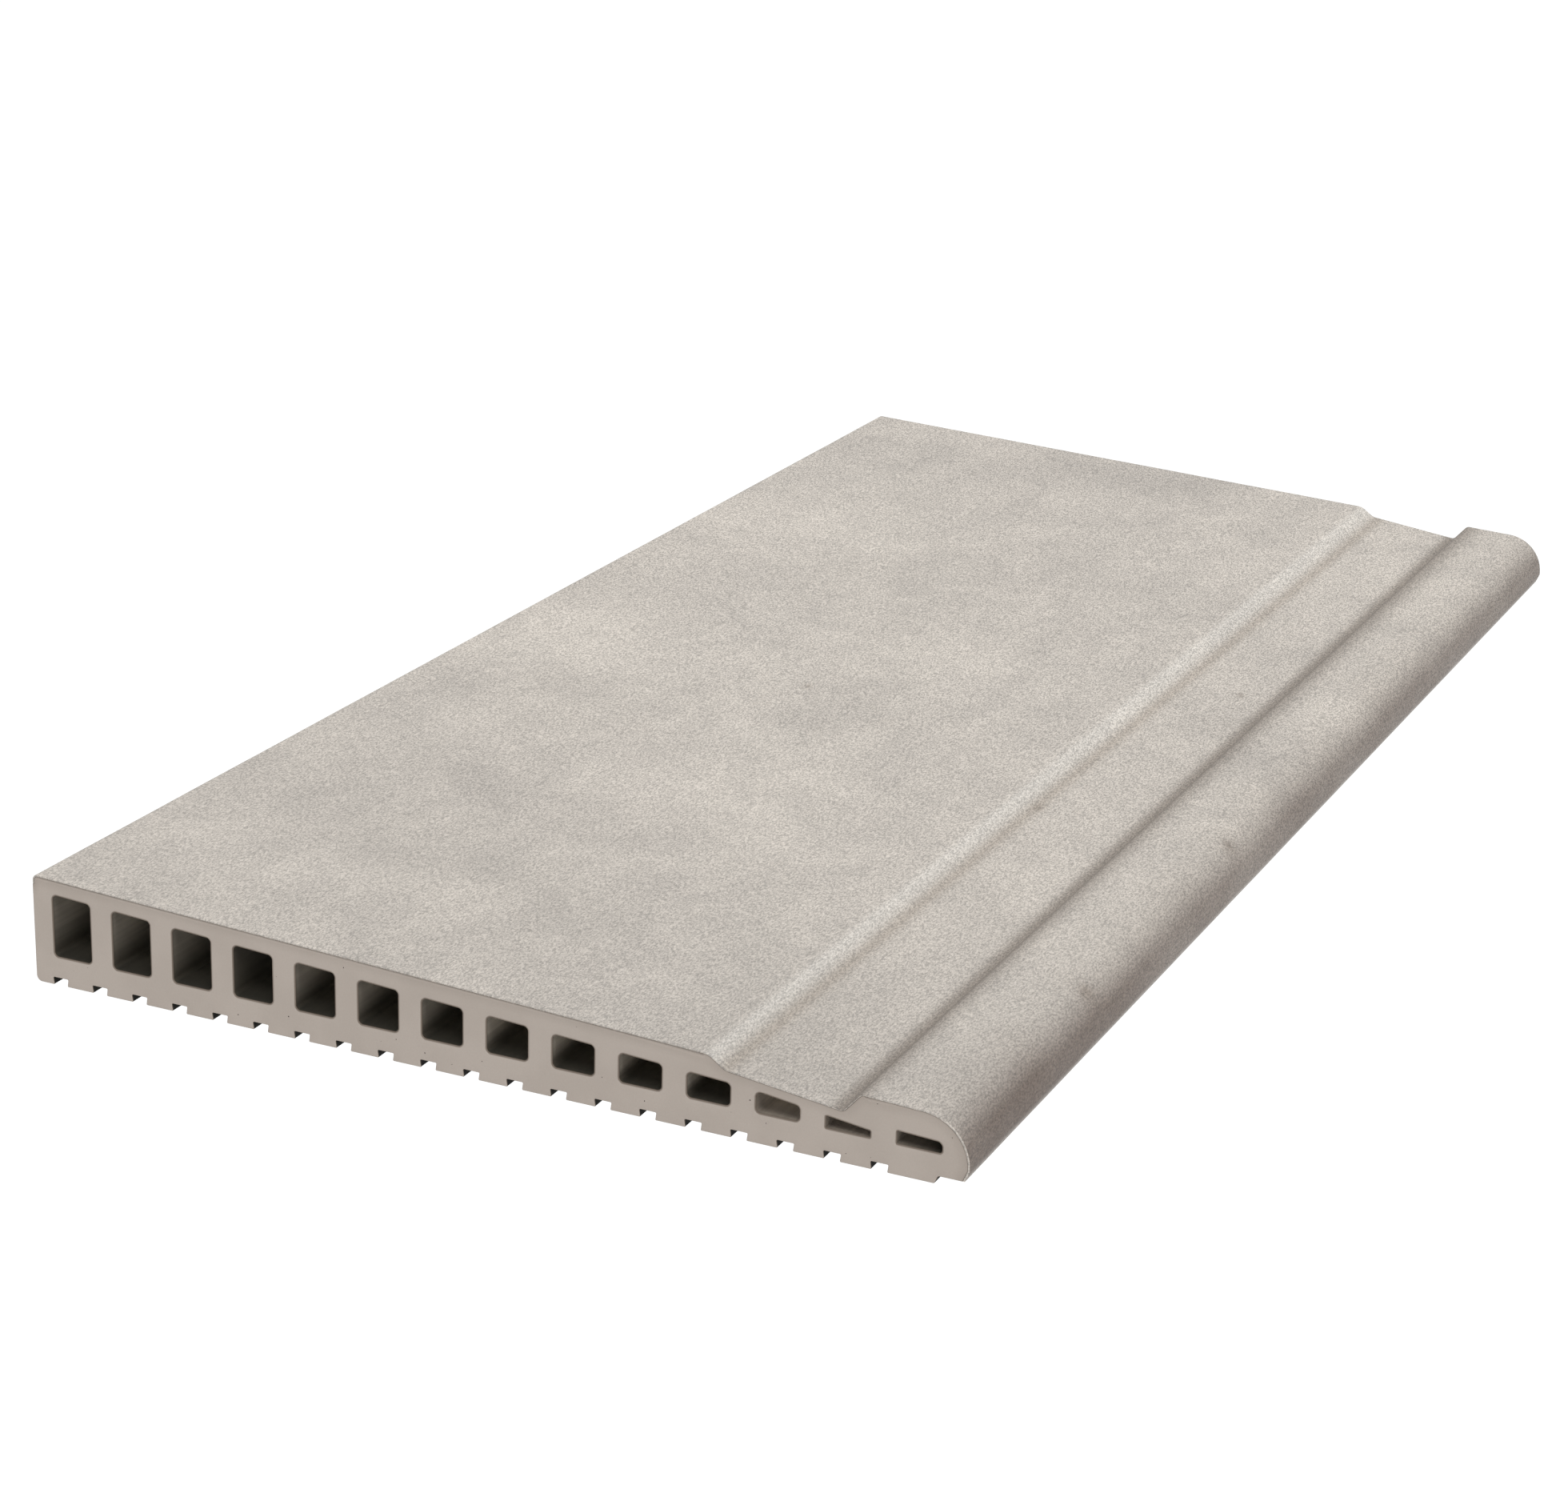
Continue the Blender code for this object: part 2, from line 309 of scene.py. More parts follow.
class Build:
    """Vertices, faces and point values of one mesh while it is put together."""

    def __init__(self):
        self.vertices = []
        self.faces = []
        self.kinds = []
        self.values = {}

    def points(self, points, y, **values):
        """Adds a ring of (x, z) points at y, and returns their indices."""
        first = len(self.vertices)
        self.vertices += [(x - TILE_WIDTH / 2, y, z) for x, z in points]
        indices = list(range(first, len(self.vertices)))
        for name, value in values.items():
            self.store(name, indices, np.broadcast_to(value, len(points)))
        return indices

    def store(self, name, indices, values):
        """Keeps a named value for each of these points. A point with none gets 0."""
        self.values.setdefault(name, {}).update(zip(indices, values))

    def face(self, corners, kind):
        """Adds a face. Its kind is the number of its material."""
        self.faces.append(corners)
        self.kinds.append(kind)

    def bridge(self, ring, following, kinds, closed, flipped):
        """Adds quads between two rings of equal length."""
        count = len(ring)
        for i in range(count if closed else count - 1):
            j = (i + 1) % count
            quad = (ring[i], following[i], following[j], ring[j])
            self.face(quad[::-1] if flipped else quad, kinds[i])

    def piece(self, name, materials):
        """The finished mesh, as an object in the scene."""
        mesh = bpy.data.meshes.new(name)
        mesh.from_pydata(self.vertices, [], self.faces)
        mesh.polygons.foreach_set("material_index", self.kinds)
        for label, column in self.values.items():
            values = np.zeros(len(self.vertices), np.float32)
            values[list(column)] = list(column.values())
            mesh.attributes.new(label, "FLOAT", "POINT").data.foreach_set("value", values)
        for material in materials:
            mesh.materials.append(material)
        mesh.validate()
        mesh.shade_smooth()
        mesh.set_sharp_from_angle(angle=SHARP_ANGLE)
        piece = bpy.data.objects.new(name, mesh)
        bpy.context.scene.collection.objects.link(piece)
        return piece


def cut_edge():
    """(inset, distance from the cut end) pairs of the small rounding on every cut edge."""
    pairs = []
    for step in range(CUT_EDGE_STEPS + 1):
        angle = math.pi / 2 * step / CUT_EDGE_STEPS
        inset = CUT_EDGE_RADIUS * (1 - math.sin(angle))
        away = CUT_EDGE_RADIUS * (1 - math.cos(angle))
        pairs.append((inset, away))
    return pairs


def both_ways(near):
    """These (inset, y) pairs from the near end, and their mirror images towards the far one."""
    return near, [(inset, -y) for inset, y in reversed(near)]


# Stoneware body -----------------------------------------------------------------------------

# The body's materials, by number.
CUT_FACE, OUTER_WALL, CHANNEL_WALLS, GROOVE_WALLS = range(4)

# Distances of the wall's rings from a cut end, in mm. They are closest where the tints change.
WALL_RINGS = (3.0, 8.0, 16.0, 30.0, 50.0, 80.0, 120.0, 180.0, 250.0)

# The points that fill the cut face, and the least doubled area of a triangle there, in mm2.
CAP_GRID = 2.2 * MM
CAP_JITTER = (0.3, 0.7)
CAP_MARGIN = 0.6 * MM
SAME_POINT_MM = 1e-6
LEAST_SLIVER = 1e-5

# The waves that the cutting wire left: depth, and scale across, up and along. Along the walls
# they start this far from the end, and are whole this close to it.
CUT_RELIEF = 0.05 * MM
CUT_WAVES = (45.0, 90.0, 9.0)
CUT_WAVES_START = 3.0 * MM
CUT_WAVES_WHOLE = 0.5 * MM

# Pores. A pore's clearance and depth go by its radius, and the floor's size by the mouth's.
PORE_COUNT = 22
PORE_TRIES = 20
PORE_SIDES = 7
PORE_RADII = (0.10 * MM, 0.28 * MM)
PORE_RAGGEDNESS = (0.75, 1.2)
PORE_SPACING = 5.0 * MM
PORE_CLEARANCE = 2.5
PORE_DEPTH = 1.3
PORE_FLOOR = 0.5

# The grooves' painted shade covers the outline between these heights, in the ribbed part of the
# profile.
GROOVE_SHADE_FOOT = 0.12 * MM
GROOVE_SHADE_TOP = GROOVE_DEPTH + 0.01 * MM
RIBBED_FROM = FIRST_RIB - 1.0 * MM
RIBBED_TO = SHELF_X + 2.0 * MM

# How much painted light the upper walls of each channel get, from the back edge to the nose.
CHANNEL_PAINTED_LIGHT = (0.52, 0.58, 0.43, 0.08, 0.6, 0.6, 0.6, 1.0, 1.2, 1.1, 1.1, 1.0, 1.0, 1.0)
# Channels painted pale all over, as painted light. The last channel is painted pale along its back
# side only.
LIT_CHANNELS = (11, 12)
LIT_SIDE = 0.7
LIT_SIDE_FADE = (2.0 * MM, 9.0 * MM)
# The painted shade on the floor fades upwards, and sideways into the corners.
BED_FADE_UP = (0.2 * MM, 1.6 * MM)
BED_FADE_SIDE = (-0.2 * MM, 1.2 * MM)


def cut_relief(x, y, z):
    """How far the cut face lies behind its plane: the faint waves left by the cutting wire."""
    wave = noise.noise(Vector((x * CUT_WAVES[0], z * CUT_WAVES[1], y * CUT_WAVES[2])))
    return CUT_RELIEF * (0.5 + 0.5 * wave)


def waved(vertices):
    """The same vertices, with those near a cut end sunk by its waves."""
    moved = []
    for x, y, z in vertices:
        share = smooth(CUT_WAVES_START, CUT_WAVES_WHOLE, HALF_LENGTH - abs(y))
        moved.append((x, y - math.copysign(cut_relief(x, y, z) * share, y), z))
    return moved


def pores(loops, seed):
    """Small closed loops for the pores of one cut face, clear of every edge and of each other."""
    draw = random.Random(seed)
    spots = [(draw.uniform(0.0, TILE_WIDTH), draw.uniform(0.0, BACK_THICKNESS))
             for _ in range(PORE_COUNT * PORE_TRIES)]
    places = np.array(spots)
    room = np.min([distance_to(places, loop, True) for loop in loops], axis=0)
    room[~inside(places, loops)] = 0.0
    found = []
    for spot, space in zip(spots, room):
        radius = draw.uniform(*PORE_RADII)
        crowded = any(math.dist(spot, other[0]) < PORE_SPACING for other in found)
        tight = space < PORE_CLEARANCE * radius + CAP_MARGIN
        if len(found) == PORE_COUNT or tight or crowded:
            continue
        turn = draw.uniform(0.0, math.tau)
        ring = []
        for side in range(PORE_SIDES):
            angle = turn - math.tau * side / PORE_SIDES
            reach = radius * draw.uniform(*PORE_RAGGEDNESS)
            ring.append((spot[0] + reach * math.cos(angle), spot[1] + reach * math.sin(angle)))
        found.append((spot, radius, ring))
    return found


def cap_grid(loops, seed):
    """Loosely spaced points over the solid section, clear of every edge."""
    draw = random.Random(seed)
    spots = []
    for column in range(int(TILE_WIDTH / CAP_GRID)):
        for row in range(int(BACK_THICKNESS / CAP_GRID)):
            spots.append(((column + draw.uniform(*CAP_JITTER)) * CAP_GRID,
                          (row + draw.uniform(*CAP_JITTER)) * CAP_GRID))
    spots = np.array(spots)
    kept = inside(spots, loops)
    for loop in loops:
        kept &= distance_to(spots, loop, True) > CAP_MARGIN
    return [tuple(spot) for spot in spots[kept]]


def open_pore(build, pore, y, sign):
    """Adds a pore's walls and floor, and returns the indices of its mouth."""
    spot, radius, ring = pore
    mouth = build.points(ring, y)
    middle = [(spot[0] + (x - spot[0]) * PORE_FLOOR, spot[1] + (z - spot[1]) * PORE_FLOOR)
              for x, z in ring]
    # The floor carries the pore's painted shade.
    floor = build.points(middle, y + sign * radius * PORE_DEPTH, pore=1.0)
    build.bridge(mouth, floor, [CUT_FACE] * PORE_SIDES, True, sign < 0)
    build.face(floor if sign < 0 else floor[::-1], CUT_FACE)
    return mouth


def fill_face(build, borders, free, index, sign):
    """Fills the section between its borders with triangles that also use the free points."""
    flat = [point for border in borders for point in border] + free
    spots = [Vector((x / MM, z / MM)) for x, z in flat]
    edges = []
    for border in borders:
        first = len(edges)
        count = len(border)
        edges += [(first + i, first + (i + 1) % count) for i in range(count)]
    placed, _, triangles, sources, _, _ = delaunay_2d_cdt(spots, edges, [], 0, SAME_POINT_MM)
    placed = np.array([tuple(spot) for spot in placed])
    corners = np.array(triangles)
    a, b, c = (placed[corners[:, i]] for i in range(3))
    area = (b - a)[:, 0] * (c - a)[:, 1] - (b - a)[:, 1] * (c - a)[:, 0]
    kept = inside((a + b + c) * MM / 3, borders) & (np.abs(area) > LEAST_SLIVER)
    for triangle in corners[kept]:
        face = [index[sources[corner][0]] for corner in triangle]
        build.face(face if sign > 0 else face[::-1], CUT_FACE)


def fill_cap(build, rings, loops, y, sign, seed):
    """Closes one cut end: its face with pores, between the rings of the outline and the channels."""
    found = pores(loops, seed)
    borders = loops + [ring for _, _, ring in found]
    free = cap_grid(borders, seed)
    index = [corner for ring in rings for corner in ring]
    for pore in found:
        index += open_pore(build, pore, y, sign)
    index += build.points(free, y)
    fill_face(build, borders, free, index, sign)
    flat = np.array([point for border in borders for point in border] + free)
    # Distances that place the painted shade under the glaze and round the channel mouths.
    glaze_line = rounded(glazed_corners(), False)
    build.store("glaze_depth", index, distance_to(flat, glaze_line, False) / MM)
    mouths = [distance_to(flat, channel, True) for channel in loops[1:]]
    build.store("mouth", index, np.min(mouths, axis=0) / MM)


def wall_kinds(points):
    """The material of each side of the outline: painted groove shade in the grooves, else raw clay.
    """
    kinds = []
    for a, b in zip(points, points[1:] + points[:1]):
        x = (a[0] + b[0]) / 2
        z = (a[1] + b[1]) / 2
        ribbed = RIBBED_FROM < x < RIBBED_TO
        sunken = GROOVE_SHADE_FOOT < z < GROOVE_SHADE_TOP
        kinds.append(GROOVE_WALLS if ribbed and sunken else OUTER_WALL)
    return kinds


def body_rings():
    """(inset, y) of every ring of the body's walls, from the near cut end to the far one."""
    near = [(inset, -HALF_LENGTH + away) for inset, away in cut_edge()]
    near += [(0.0, -HALF_LENGTH + away * MM) for away in WALL_RINGS]
    near, far = both_ways(near)
    return near + [(0.0, 0.0)] + far


def channel_values(points, corners, index):
    """Point values of a channel's section, for painted light and shade: height, floor, tone and
    paleness.
    """
    left, right = corners[0][0], corners[1][0]
    roof = max(corners[2][1], corners[3][1])
    xs = np.array([x for x, _ in points])
    zs = np.array([z for _, z in points])
    rise = (zs - CHANNEL_FLOOR) / (roof - CHANNEL_FLOOR)
    edge = np.minimum(xs - left, right - xs)
    low = 1.0 - smooth(*BED_FADE_UP, zs - CHANNEL_FLOOR)
    bed = low * smooth(*BED_FADE_SIDE, edge)
    pale = np.full(len(xs), float(index in LIT_CHANNELS))
    if index == CHANNEL_COUNT - 1:
        pale = LIT_SIDE * (1.0 - smooth(*LIT_SIDE_FADE, xs - left))
    return {"rise": rise, "bed": bed * (1.0 - pale), "tone": CHANNEL_PAINTED_LIGHT[index], "pale": pale}


def stoneware_piece(materials):
    """The fired body: cored through, ribbed underneath, with real pores in both cut faces."""
    build = Build()
    schedule = body_rings()
    end_inset = schedule[0][0]
    loops = []
    near_ends = []
    far_ends = []
    channels = [channel_corners(index) for index in range(CHANNEL_COUNT)]
    for number, corners in enumerate([body_corners()] + channels):
        base = rounded(corners, True)
        if number:
            kinds = [CHANNEL_WALLS] * len(base)
            values = channel_values(base, corners, number - 1)
        else:
            kinds = wall_kinds(base)
            values = {}
        rings = []
        for inset, y in schedule:
            points = rounded(sunk(corners, inset, True), True) if inset else base
            rings.append(build.points(points, y, away=(HALF_LENGTH - abs(y)) / MM, **values))
        for step, (ring, following) in enumerate(zip(rings, rings[1:])):
            at_end = step < CUT_EDGE_STEPS or step >= len(rings) - 1 - CUT_EDGE_STEPS
            build.bridge(ring, following, [CUT_FACE] * len(ring) if at_end else kinds, True, True)
        loops.append(rounded(sunk(corners, end_inset, True), True))
        near_ends.append(rings[0])
        far_ends.append(rings[-1])
    fill_cap(build, near_ends, loops, -HALF_LENGTH, 1, seed=4)
    fill_cap(build, far_ends, loops, HALF_LENGTH, -1, seed=9)
    build.vertices = waved(build.vertices)
    return build.piece("fired_body", materials)


# Glaze --------------------------------------------------------------------------------------

SKIN_STEP = 1.6 * MM
SKIN_RING_STEP = 3.0 * MM

# Long soft waves in the glaze, and faint short ones: scale in x, y and z, and share.
SKIN_RELIEF = 0.10 * MM
LONG_WAVES = (32.0, 24.0, 32.0)
LONG_SHARE = 0.38
SHORT_WAVES = (130.0, 110.0, 130.0)
SHORT_SHARE = 0.12
SHORT_START = 7.0

# A painted highlight along the crest of the step.
CREST_FROM = STEP_X + 0.9 * MM
CREST_TO = STEP_X + 2.7 * MM
CREST_REACH = 1.5 * MM

# The shade at the step's foot lies further out at the far end of the tile.
SHADE_NEAR = 5.2 * MM
SHADE_FAR = 8.2 * MM
SHADE_REACH = 1.8 * MM

# The painted shade in the crease of the trough. Each reach grows along the tile, by the second
# number.
CREASE_FROM = TROUGH_X - 1.0 * MM
CREASE_TO = RIDGE_X - 1.4 * MM
CREASE_RECESS_REACH = (1.7 * MM, 0.4 * MM)
CREASE_NOSE_REACH = (2.8 * MM, 2.4 * MM)

# Painted shade with brown staining low on the nose: the height where it starts, how far below that
# it is full, how strong it is, how much weaker away from the near end, and where across it comes in.
SIDE_TOP = 22.5 * MM
SIDE_DEPTH = 10.2 * MM
SIDE_STRENGTH = 0.95
SIDE_WEAKER = 0.15
SIDE_WEAKER_FADE = (0.05, 0.4)
SIDE_FADE = (TILE_WIDTH - 23.0 * MM, TILE_WIDTH - 12.0 * MM)
SIDE_STRAIGHT = 0.7
SIDE_RAGGEDNESS = 0.6
SIDE_RAGGED_EVERY = 34.0
# Browner places low on the nose: place along the tile, reach, and how far each climbs, in mm.
NOSE_STAINS = [
    (24, 26, 0.9), (56, 16, 0.8), (107, 9, 0.7), (197, 26, 1.0), (246, 9, 0.6),
    (320, 30, 1.0), (455, 36, 0.6),
]

# Painted light on the foot of the nose, as if thrown up from below.
FOOT_WIDTH = 5.0 * MM
FOOT_FADE = (2.6 * MM, 5.2 * MM)

# Small brown iron spots: place across and along, and reach, in mm. Each is longer along the tile.
IRON_SPOTS = [
    (STEP_X / MM + 7.4, 244, 1.9), (TILE_WIDTH / MM - 6.0, 107, 2.2),
    (TILE_WIDTH / MM - 6.4, 246, 2.0), (128, 300, 1.6), (262, 402, 1.5),
]
SPOT_LENGTH = 1.6

# Soft clouds in the glaze: centre across and along the tile, reach across and along, all in mm,
# and depth. Their outlines drift by up to CLOUD_DRIFT mm; the near end is cooler, with painted shade.
CLOUDS = [
    (140, 640, 40, 24, -0.9), (40, 600, 55, 26, -0.3), (25, 480, 40, 26, 0.5),
    (70, 500, 24, 18, 0.4), (200, 470, 55, 30, -0.3), (160, 358, 32, 20, 0.5),
    (45, 292, 44, 30, 0.8), (150, 275, 26, 14, -0.5), (48, 236, 44, 20, -0.5),
    (135, 238, 22, 16, 0.4), (150, 172, 32, 28, 0.5), (70, 148, 50, 22, -0.5),
    (40, 108, 60, 22, -0.3), (110, 80, 50, 16, -0.3), (66, 52, 36, 16, 0.6),
    (296, 318, 14, 12, -0.5), (300, 395, 16, 20, 0.3), (262, 16, 60, 34, -0.6),
    (262, 575, 44, 60, 0.4),
]
CLOUD_FALL = 0.7
CLOUD_DRIFT = 26.0
DRIFT_WAVES = (26.0, 18.0)
NEAR_REACH = 165.0
NEAR_PAINTED_SHADE = 0.5
NEAR_CURVE = 0.8


def subdivided(points):
    """The same line with no two points further apart than the skin's step."""
    line = [points[0]]
    for a, b in zip(points, points[1:]):
        parts = max(1, math.ceil(math.dist(a, b) / SKIN_STEP))
        line += [(a[0] + (b[0] - a[0]) * i / parts, a[1] + (b[1] - a[1]) * i / parts)
                 for i in range(1, parts + 1)]
    return line


def skin_rings():
    """(inset, y) of every ring of the glaze, from the near cut end to the far one."""
    near, far = both_ways([(inset, -HALF_LENGTH + away) for inset, away in cut_edge()])
    start = near[-1][1]
    span = far[0][1] - start
    count = math.ceil(span / SKIN_RING_STEP)
    return near + [(0.0, start + span * i / count) for i in range(1, count)] + far


def inward_normals(base):
    """Directions into the tile, square to the line at each of its points."""
    ahead = np.diff(base, axis=0)
    tangent = np.vstack([ahead[:1], ahead[:-1] + ahead[1:], ahead[-1:]])
    tangent /= np.hypot(*tangent.T)[:, None]
    return np.column_stack([tangent[:, 1], -tangent[:, 0]])


def skin_relief(x, y, z):
    """How far the fired glaze sinks at a point: long soft waves and a faint short one."""
    scale = LONG_WAVES
    long_wave = noise.noise(Vector((x * scale[0], y * scale[1], z * scale[2])))
    scale = SHORT_WAVES
    short_wave = noise.noise(Vector((x * scale[0] + SHORT_START, y * scale[1], z * scale[2])))
    return SKIN_RELIEF * (0.5 + LONG_SHARE * long_wave + SHORT_SHARE * short_wave)


def crease_shade(x, along):
    """Painted shade in the finger trough: short on the recess side, spreading over the ridge."""
    recess_reach = CREASE_RECESS_REACH[0] + CREASE_RECESS_REACH[1] * along
    nose_reach = CREASE_NOSE_REACH[0] + CREASE_NOSE_REACH[1] * along
    recess_side = bell(CREASE_FROM, CREASE_TO, recess_reach, x)
    nose_side = bell(CREASE_FROM, CREASE_TO, nose_reach, x)
    return np.where(x < CREASE_FROM, recess_side, nose_side)


def nose_shade_and_stain(base, along):
    """Painted shade and brown staining on the nose, darker towards its foot and higher at the stains.
    """
    place = along * 2 * HALF_LENGTH / MM
    climb = SIDE_RAGGEDNESS * noise.noise(Vector((place / SIDE_RAGGED_EVERY, 5.0, 2.0)))
    for centre, reach, height in NOSE_STAINS:
        climb += height * math.exp(-((place - centre) / reach) ** 2)
    fall = np.clip((SIDE_TOP + climb * MM - base[:, 1]) / SIDE_DEPTH, 0.0, 1.0)
    fall = SIDE_STRAIGHT * fall + (1.0 - SIDE_STRAIGHT) * smooth(0.0, 1.0, fall)
    strength = SIDE_STRENGTH - SIDE_WEAKER * smooth(*SIDE_WEAKER_FADE, along)
    return fall * strength * smooth(*SIDE_FADE, base[:, 0])


def foot_bounce_light(base):
    """How pale the foot of the nose is painted, as light thrown up from below."""
    paleness = 1.0 - smooth(*FOOT_FADE, base[:, 1])
    return np.where(base[:, 0] > TILE_WIDTH - FOOT_WIDTH, paleness, 0.0)


def spot_tint(x, y):
    """How strongly each point lies on one of the iron spots."""
    total = np.zeros(len(x))
    place = (y + HALF_LENGTH) / MM
    for across, along, reach in IRON_SPOTS:
        away = ((x / MM - across) / reach) ** 2 + ((place - along) / (SPOT_LENGTH * reach)) ** 2
        total += np.exp(-away)
    return np.minimum(total, 1.0)


def cloudiness(girth, y):
    """Tone of the glaze at a point: -1 is a deep cool cloud and 1 a pale warm one."""
    spot = Vector((girth * DRIFT_WAVES[0], y * DRIFT_WAVES[1], 3.0))
    across = girth / MM + noise.noise(spot) * CLOUD_DRIFT
    place = (y + HALF_LENGTH) / MM
    along = place + noise.noise(spot + Vector((11.0, 5.0, 0.0))) * CLOUD_DRIFT
    tone = 0.0
    for middle_x, middle_y, reach_x, reach_y, depth in CLOUDS:
        away = ((across - middle_x) / reach_x) ** 2 + ((along - middle_y) / reach_y) ** 2
        tone += depth * math.exp(-away * CLOUD_FALL)
    # Painted shade: the glaze turns darker and cooler towards the near end.
    near = min(max(1.0 - along / NEAR_REACH, 0.0), 1.0)
    return tone - NEAR_PAINTED_SHADE * near ** NEAR_CURVE


def ring_tints(base, girths, y):
    """Point values that tint one ring of the glaze, by its place on the profile and along it."""
    x = base[:, 0]
    along = (y + HALF_LENGTH) / (2 * HALF_LENGTH)
    # The painted shade at the step's foot is centred here.
    shade_middle = STEP_X + SHADE_NEAR + (SHADE_FAR - SHADE_NEAR) * along
    return {
        "cloud": [cloudiness(girth, y) for girth in girths],
        "crest": bell(CREST_FROM, CREST_TO, CREST_REACH, x),
        "shade": bell(shade_middle, shade_middle, SHADE_REACH, x),
        "crease": crease_shade(x, along),
        "side": nose_shade_and_stain(base, along),
        "foot": foot_bounce_light(base),
        "spot": spot_tint(x, y),
    }


def stitch(build, outer, under, line, inner, flipped):
    """Triangles between a finely and a coarsely divided line that run side by side."""
    i = 0
    j = 0
    while i < len(outer) - 1 or j < len(under) - 1:
        step_outer = j == len(under) - 1
        if i < len(outer) - 1 and not step_outer:
            step_outer = math.dist(line[i + 1], inner[j]) < math.dist(line[i], inner[j + 1])
        if step_outer:
            corners = (outer[i], outer[i + 1], under[j])
            i += 1
        else:
            corners = (outer[i], under[j + 1], under[j])
            j += 1
        build.face(corners[::-1] if flipped else corners, 0)


def glaze_piece(materials):
    """The glaze: one thin closed skin that runs over the deck, the recess and the nose."""
    build = Build()
    corners = glazed_corners()
    line = subdivided(rounded(corners, False))
    inner = rounded(sunk(corners, GLAZE_THICKNESS), False)
    base = np.array(line)
    inward = inward_normals(base)
    girths = np.concatenate([[0.0], np.cumsum(np.hypot(*np.diff(base, axis=0).T))])
    rings = []
    for inset, y in skin_rings():
        relief = np.array([skin_relief(x, y, z) for x, z in base])
        ring = base + inward * (inset + relief)[:, None]
        tints = ring_tints(base, girths, y)
        rings.append(build.points([tuple(point) for point in ring], y, lip=float(inset > 0), **tints))
    low = build.points(inner, -HALF_LENGTH)
    high = build.points(inner, HALF_LENGTH)
    kinds = [0] * len(line)
    for ring, following in zip(rings, rings[1:]):
        build.bridge(ring, following, kinds, False, True)
    build.bridge(low, high, kinds, False, False)
    stitch(build, rings[0], low, line, inner, False)
    stitch(build, rings[-1], high, line, inner, True)
    for end in (0, -1):
        border = [ring[end] for ring in rings] + [high[end], low[end]]
        build.face(border if end else border[::-1], 0)
    return build.piece("glaze_skin", materials)


# Materials ----------------------------------------------------------------------------------

def seen(red, green, blue):
    """A display colour, 0 to 255, as the linear colour that a shader takes."""
    def linear(value):
        value /= 255.0
        return value / 12.92 if value <= 0.04045 else ((value + 0.055) / 1.055) ** 2.4
    return (linear(red), linear(green), linear(blue), 1.0)


GLAZE_CLOUD = seen(171, 165, 158)
GLAZE_PALE = seen(200, 193, 184)
# Painted highlight and shade: the crest, step foot, crease, lower nose (with stains), foot and lip.
GLAZE_CREST_HIGHLIGHT = seen(229, 227, 221)
GLAZE_SHADE = seen(142, 130, 117)
GLAZE_CREASE_SHADE = seen(112, 102, 93)
GLAZE_NOSE_SHADE_AND_STAIN = seen(103, 91, 83)
GLAZE_FOOT_BOUNCE_LIGHT = seen(196, 190, 182)
GLAZE_LIP_HIGHLIGHT = seen(214, 207, 198)
IRON_BROWN = seen(96, 82, 68)

CUT_DARK = seen(174, 164, 155)
CUT_LIGHT = seen(178, 168, 159)
CUT_GRIT = seen(150, 138, 128)
# Painted shade under the glaze, round the channel mouths and in the pores.
CUT_UNDER_GLAZE_SHADE = seen(128, 117, 108)
CUT_GLAZE_LINE_SHADE = seen(118, 107, 99)
CUT_RIM_SHADE = seen(92, 80, 68)
CUT_PORE_SHADE = seen(58, 50, 44)

RAW_DARK = seen(160, 149, 139)
RAW_LIGHT = seen(176, 165, 155)
RAW_DRAG = seen(140, 128, 118)
RAW_SPECK = seen(104, 92, 82)

# Painted light and shade inside the channels.
CHANNEL_UPPER_SHADED = seen(76, 73, 65)
CHANNEL_UPPER_LIT = seen(222, 211, 195)
CHANNEL_LOW_SHADE = seen(84, 80, 70)
CHANNEL_DEEP_LIGHT = seen(206, 197, 181)
CHANNEL_MOUTH_SHADE = seen(56, 51, 44)
CHANNEL_RIM_SHADE = seen(72, 62, 52)
CHANNEL_DRAG = seen(40, 38, 33)
BED_MOUTH_SHADE = seen(48, 46, 40)
BED_DEEP_SHADE = seen(112, 107, 95)
LIT_MOUTH = seen(142, 132, 121)
LIT_DEEP = seen(246, 236, 222)

# Painted shade in the bedding grooves, darkest near the cut ends.
MOUTH_SHADE_DARK = seen(26, 26, 23)
MOUTH_SHADE_LIGHT = seen(42, 41, 37)
GROOVE_SHADE_DARK = seen(118, 109, 100)
GROOVE_SHADE_LIGHT = seen(140, 130, 121)

# What the glaze's grain multiplies the colour by, at its darkest and its palest.
GRAIN_DARK = (0.67, 0.675, 0.68, 1.0)
GRAIN_PALE = (1.31, 1.305, 1.30, 1.0)
# The grain's contrast at the near end and at the far end.
GRAIN_CONTRAST = (1.05, 2.0)

# Scales of the textures in x, y and z: the smaller the scale, the longer the marks that way.
SMOKE_STRETCH = (1.0, 0.75, 1.0)
GRAIN_STRETCH = (1.0, 0.45, 1.0)
FLECK_STRETCH = (1.0, 0.55, 1.0)
RAW_DRAG_STRETCH = (1.0, 0.012, 1.0)
SKIN_DRAG_STRETCH = (1.0, 0.015, 1.0)


